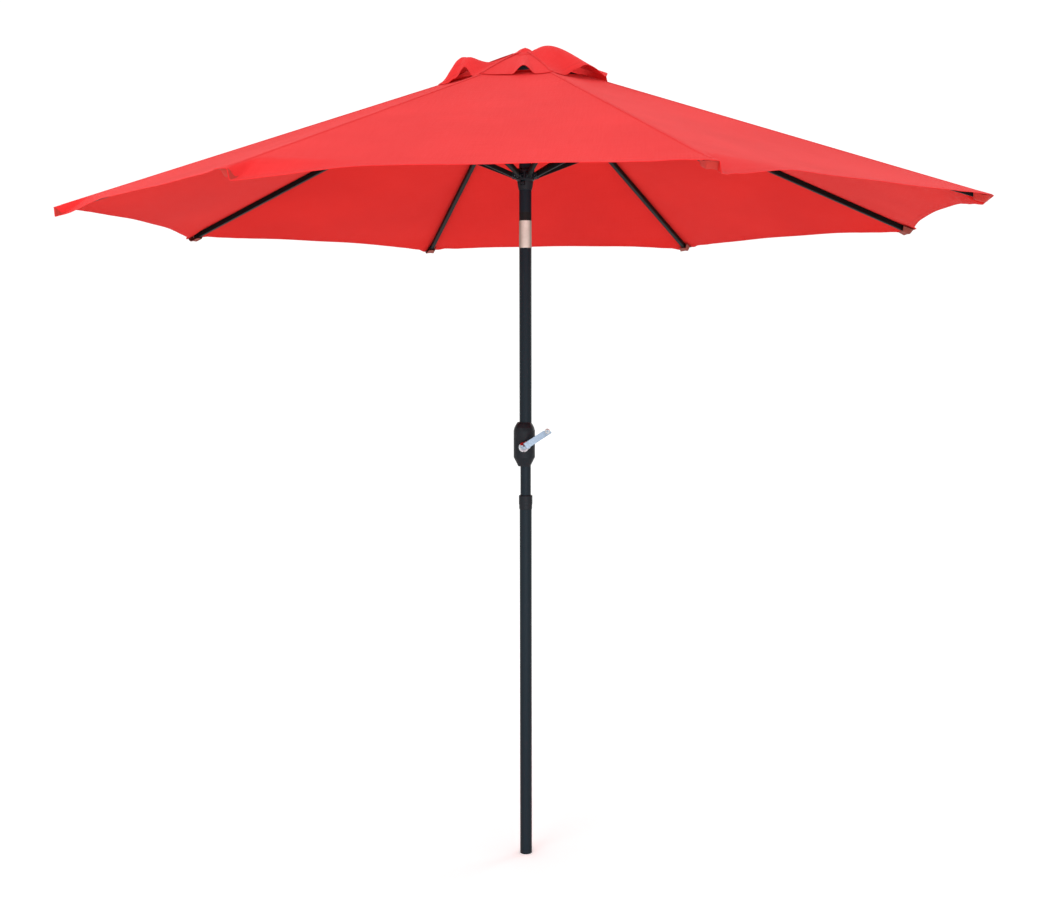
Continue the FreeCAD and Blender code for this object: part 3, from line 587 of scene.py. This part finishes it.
def corner_twist(level, from_rib, side, i):
    """How far a corner hangs below its gore, is drawn in towards its rib, and slips along it."""
    near = smoothstep(CANOPY_R - TWIST_REACH, CANOPY_R - TWIST_END, level)
    if side < 0:
        rise = near * smoothstep(0.0, TWIST_RISE_IN, from_rib)
        rise = rise * (1 - smoothstep(TWIST_BACK, TWIST_RISE_OUT, from_rib))
        return -TWIST_RISE * rise, 0 * rise, 0 * rise
    fold = near * smoothstep(*TWIST_FOLD, from_rib) * (1 - smoothstep(TWIST_BACK, TWIST_HEM, from_rib))
    return TWIST_DROPS[i] * fold, TWIST_PULL * fold, TWIST_SLIPS[i] * fold


def hem_level(share):
    """Rib radius of the canopy's edge: squared corners, then a scoop to mid-gore."""
    off = share * ACROSS * CANOPY_R
    scoop = EDGE_SCOOP * (1 - (1 - share) ** 2) / ALONG
    corner = off * CORNER_TAN * END_BULGE
    blend = smoothstep(END_HALF, END_HALF + SHOULDER, off)
    return CANOPY_R + corner * (1 - blend) - scoop * blend


def pleat(piece):
    """Gives the piece its own copy of its mesh."""
    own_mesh(piece)


def neighbour(i, side):
    """Which gore this side of rib i belongs to."""
    return i if side > 0 else (i - 1) % RIBS


def canopy_sag(level, share):
    """How far a gore hangs below its plane between the ribs."""
    spread = (level - VENT_R) / (CANOPY_R - VENT_R)
    curve = np.sin(math.pi * np.clip(SAG_START + SAG_SPAN * spread, 0, 1))
    return SAG * (1 - (1 - share) ** 2) * curve


def uneven(middle, first, second):
    """Steps from 0 to 1, with this many up to the middle value and this many from it."""
    return np.concatenate([np.linspace(0.0, middle, first), np.linspace(middle, 1.0, second)[1:]])


def half_gore(i, side, materials):
    """Half a canopy gore, from its rib to mid-gore, with a turned-up hem."""
    share = uneven(0.12, 19, 27)[None, :]
    body = uneven(0.88, 36, 15)
    hem = hem_level(share)
    length = hem - VENT_R
    turn = 1 - HEM_WIDTH / ALONG / length
    step = body[:, None] * turn
    tail = np.linspace(0.0, 1.0, 6)[1:, None]
    reach = np.concatenate([step, turn + (1 - turn) * tail])
    level = VENT_R + reach * length
    share = share + 0 * level

    gore = neighbour(i, side)
    across = side * (share - 1) * ACROSS * level
    along = level * ALONG
    spread = (level - VENT_R) / (CANOPY_R - VENT_R)
    from_rib = share * ACROSS * level
    fading = np.exp(-((CANOPY_R - level) / TENSION_REACH))
    tension = TENSION * np.sin(from_rib * TENSION_TURNS + gore) * fading
    tension = tension * smoothstep(0.0, 0.04, from_rib) * (1 - share) ** 2
    ripple = RIPPLE * np.sin(along * RIPPLE_TURNS + gore * 1.7) * (1 - (1 - share) ** 2)
    flute = FLUTE * np.sin(across * FLUTE_TURNS + gore * 2.1) * spread ** 6
    flute = flute * smoothstep(0.0, 0.12, from_rib)
    lift = REST_ON_RIB - canopy_sag(level, share) + tension + ripple + flute
    points = on_gore(level, share, side, lift)
    drop, pull, slip = corner_twist(level, from_rib, side, i)
    points[..., 0] -= slip
    points[..., 1] -= side * pull
    points[..., 2] -= drop - slip * TAN_SLOPE
    points = turned_grid(points, azimuth_of(i))

    off_hem = (hem - level) * ALONG
    thickness = CLOTH + HEM_EXTRA * smoothstep(HEM_WIDTH + 0.0012, HEM_WIDTH - 0.0004, off_hem)
    cloth = np.stack([along + 2.3 * gore, across + 0.7 * gore], axis=2)
    edge = np.stack([off_hem, across], axis=2)
    word = "left" if side > 0 else "right"
    piece = closed_sheet("canopy_%d_%s" % (i + 1, word), points, thickness, cloth, edge, materials)
    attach(piece, "rib_%d" % (i + 1))
    pleat(piece)
    return piece


def bump_across(m, middle, width):
    """A smooth bump across a gore: 1 at its middle, 0 at both ribs."""
    return np.clip(1 - ((m - middle) / width) ** 2, 0, 1) ** 2 * (1 - m ** 4) / (1 - middle ** 4)


def cap_lift(level, share, side, gore, rib):
    """Height of the vent cap over the gore's plane."""
    puff, puff_middle, puff_width, puff_edge, mouth, middle, width = np.moveaxis(VENTS[gore], -1, 0)
    unit = np.clip(level / CAP_R, 0, 1)
    radius = level / CAP_R
    corner = CAP_CORNER_LIFTS[rib]
    ridge = corner + (CAP_APEX_LIFT - corner) * (1 - radius ** 2)
    m = side * (share - 1)
    out = np.clip((radius - CAP_EASE) / (1 - CAP_EASE), 0, 1)
    inner = puff * bump_across(m, puff_middle, puff_width) * np.sin(math.pi * out ** puff_edge)
    hollow = CAP_SAG * 4 * unit * (1 - unit) * (1 - m ** 2)
    rim = mouth * bump_across(m, middle, width) - canopy_sag(level, share)
    ridge = ridge - smoothstep(0.0, 1.0, share) * (corner - 0.001) * radius ** 2
    return ridge + inner - hollow + rim * out ** 2


def half_cap(i, side, materials):
    """Half a vent-cap gore: tight over its rib, arched open between the ribs."""
    share = uneven(0.1, 5, 22)[None, :]
    gore = neighbour(i, side)
    off = share * ACROSS * CAP_R
    edge_level = CAP_R + CAP_WAVE * np.sin(off * CAP_WAVE_TURNS)
    body = np.linspace(0.0, 1.0, 26)[:, None]
    level = CAP_START + body * (edge_level - CAP_START)
    share = share + 0 * level
    lift = cap_lift(level, share, side, gore, i)
    points = turned_grid(on_gore(level, share, side, lift), azimuth_of(i))
    across = side * (share - 1) * ACROSS * level
    off_edge = (edge_level - level) * ALONG
    thickness = CLOTH + HEM_EXTRA * smoothstep(CAP_HEM + 0.006, CAP_HEM - 0.002, off_edge)
    cloth = np.stack([level * ALONG + 31.0 + 1.9 * gore, across], axis=2)
    edge = np.stack([off_edge, across], axis=2)
    word = "left" if side > 0 else "right"
    piece = closed_sheet("vent_cap_%d_%s" % (i + 1, word), points, thickness, cloth, edge, materials)
    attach(piece, "rib_%d" % (i + 1))
    pleat(piece)
    return piece


def rib_strip(name, i, start, end, base, strip, materials):
    """A narrow sewn strip along rib i, folded over the ridge between two gores."""
    half_width, lift, thickness = strip
    stations = np.linspace(start, end, max(8, int((end - start) / 0.03)))[:, None]
    across = np.linspace(-half_width, half_width, 9)[None, :]
    level = stations + 0 * across
    share = np.abs(across) / (ACROSS * level)
    halves = []
    for side in SIDES:
        half = on_gore(level, share, side, base(level) + lift)
        drop, pull, slip = corner_twist(level, np.abs(across), side, i)
        half[..., 0] -= slip
        half[..., 1] -= side * pull
        half[..., 2] -= drop - slip * TAN_SLOPE
        halves.append(half)
    points = turned_grid(np.where((across > 0)[..., None], *halves), azimuth_of(i))
    flat = across + 0 * level
    cloth = np.stack([level + 51.0 + i, flat], axis=2)
    edge = np.stack([half_width - np.abs(flat), level], axis=2)
    piece = closed_sheet(name, points, thickness + 0 * level, cloth, edge, materials)
    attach(piece, "rib_%d" % (i + 1))
    return piece


def tip_pocket(i, material):
    """Webbing pocket under a canopy corner that holds the end of the rib."""
    reach = np.linspace(0.0, 1.0, 13)[:, None]
    span = np.linspace(-1.0, 1.0, 25)[None, :]
    across = span * (POCKET_HALF + np.where(span > 0, POCKET_HANG, POCKET_FLARE) * reach)
    off = np.abs(across)
    end = hem_level(off / (ACROSS * CANOPY_R)) - POCKET_INSET
    lean = off * math.tan(HALF)
    mouth = CANOPY_R - POCKET_LENGTH + lean
    level = mouth + (end - mouth) * reach
    skin = np.zeros(level.shape)
    inset = np.zeros(level.shape)
    draw = np.zeros(level.shape)
    for side in SIDES:
        here = across * side > 0
        drop, pull, slip = corner_twist(level, off, side, i)
        skin = np.where(here, drop, skin)
        inset = np.where(here, side * pull, inset)
        draw = np.where(here, slip, draw)
    skin = skin + CLOTH + POCKET_GAP
    bag = POCKET_DEPTH * (1 - smoothstep(POCKET_FLOOR, POCKET_HALF, off) * POCKET_WALL)
    bag = np.where(across > 0, POCKET_DEPTH, bag) * (1 - smoothstep(POCKET_CLOSE, 1.0, reach))
    depth = np.maximum(skin, bag)
    out = level - lean - draw
    z = APEX_Z - level * TAN_SLOPE + REST_ON_RIB / math.cos(GORE_SLOPE)
    z = z - depth + draw * TAN_SLOPE
    points = turned_grid(np.stack([out, across - inset, z], axis=2), azimuth_of(i))
    along = (level - mouth) / math.cos(RIB_SLOPE)
    girth = np.cumsum(np.hypot(np.diff(across - inset, axis=1, prepend=0),
                               np.diff(depth, axis=1, prepend=0)), axis=1)
    cloth = np.stack([along, girth], axis=2)
    edge = np.stack([np.minimum(along, end - mouth - along) + 0 * girth, girth], axis=2)
    piece = closed_sheet("tip_pocket_%d" % (i + 1), points, WEBBING + 0 * level, cloth, edge,
                         [material, material])
    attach(piece, "rib_%d" % (i + 1))
    return piece


def crown_patch(materials):
    """Round patch sewn over the middle of the vent cap."""
    rings = np.linspace(CROWN_HOLE, CROWN_R, 18)[:, None]
    around = np.linspace(0.0, 2 * math.pi, 97)[None, :]
    turn = (around - FIRST_AZIMUTH) % (2 * math.pi)
    gore = (turn // SECTOR).astype(int) % RIBS
    turn = turn % SECTOR
    side = np.where(turn < HALF, 1, -1)
    from_rib = np.minimum(turn, SECTOR - turn)
    level = rings * np.cos(HALF - from_rib) / math.cos(HALF)
    share = rings * np.sin(from_rib) / (level * math.sin(HALF) * math.cos(HALF))
    rib = np.where(side > 0, gore, (gore + 1) % RIBS)
    whole = np.zeros(level.shape, int)
    lift = cap_lift(level, share, side, gore + whole, rib + whole)
    over_button = BUTTON_BUMP * (1 - smoothstep(*BUTTON_EDGE, rings))
    height = APEX_Z - level * TAN_SLOPE + lift / math.cos(GORE_SLOPE) + CROWN_LIFT + over_button
    points = np.stack([rings * np.cos(around), rings * np.sin(around), height], axis=2)
    cloth = np.stack([points[..., 0] + 61.0, points[..., 1]], axis=2)
    edge = np.stack([CROWN_R - rings + 0 * around, rings * around], axis=2)
    piece = closed_sheet("crown_patch", points, CROWN_CLOTH + 0 * level, cloth, edge, materials)
    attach(piece, "upper_mast")
    return piece


# ---------- carried-over CAD nodes ----------

def dress_cad(materials):
    """Gives every CAD node its material and smooth faces. The top button is covered in canopy cloth."""
    slots = {part["node"]: part["material_slot"] for part in frame["record"]["subparts"]}
    for name, thing in NODES.items():
        slot = slots[name]
        material = materials.get(slot) or materials["canopy_fabric"]
        thing.data.materials.clear()
        thing.data.materials.append(material)
        for face in thing.data.polygons:
            face.use_smooth = True


# ---------- build ----------

def sew_rib(i, materials):
    """The cloth on both sides of rib i, with its seams and pocket."""
    outside = [materials["canopy_fabric"], materials["canopy_under"]]
    cap_cloth = [materials["canopy_fabric"], materials["cap_under"]]
    tape = [materials["seam_tape"], materials["canopy_under"]]
    # Ribs 5 to 8 get the redder webbing: painted light, for light coming through the red cloth.
    webbing = materials["pocket_sunlit" if i >= RIBS // 2 else "pocket_webbing"]
    gores = [half_gore(i, side, outside) for side in SIDES]
    caps = [half_cap(i, side, cap_cloth) for side in SIDES]
    seam = rib_strip("seam_%d" % (i + 1), i, VENT_R + SEAM_INSET, CANOPY_R - SEAM_SHORT,
                     lambda level: REST_ON_RIB + 0 * level, SEAM, tape)
    cap_seam = rib_strip("cap_seam_%d" % (i + 1), i, CAP_START + CAP_SEAM_INSET, CAP_R - CAP_SEAM_INSET,
                         lambda level: cap_lift(level, 0 * level, 1, i, i), CAP_SEAM, tape)
    pocket = tip_pocket(i, webbing)
    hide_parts("canopy_gore_%d" % (i + 1))
    if i == 0:
        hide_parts("vent_cap")


MATERIALS = make_materials()
make_camera()
make_studio()
dress_cad(MATERIALS)
for number in range(RIBS):
    sew_rib(number, MATERIALS)

CROWN = crown_patch([MATERIALS["seam_tape"], MATERIALS["canopy_under"]])
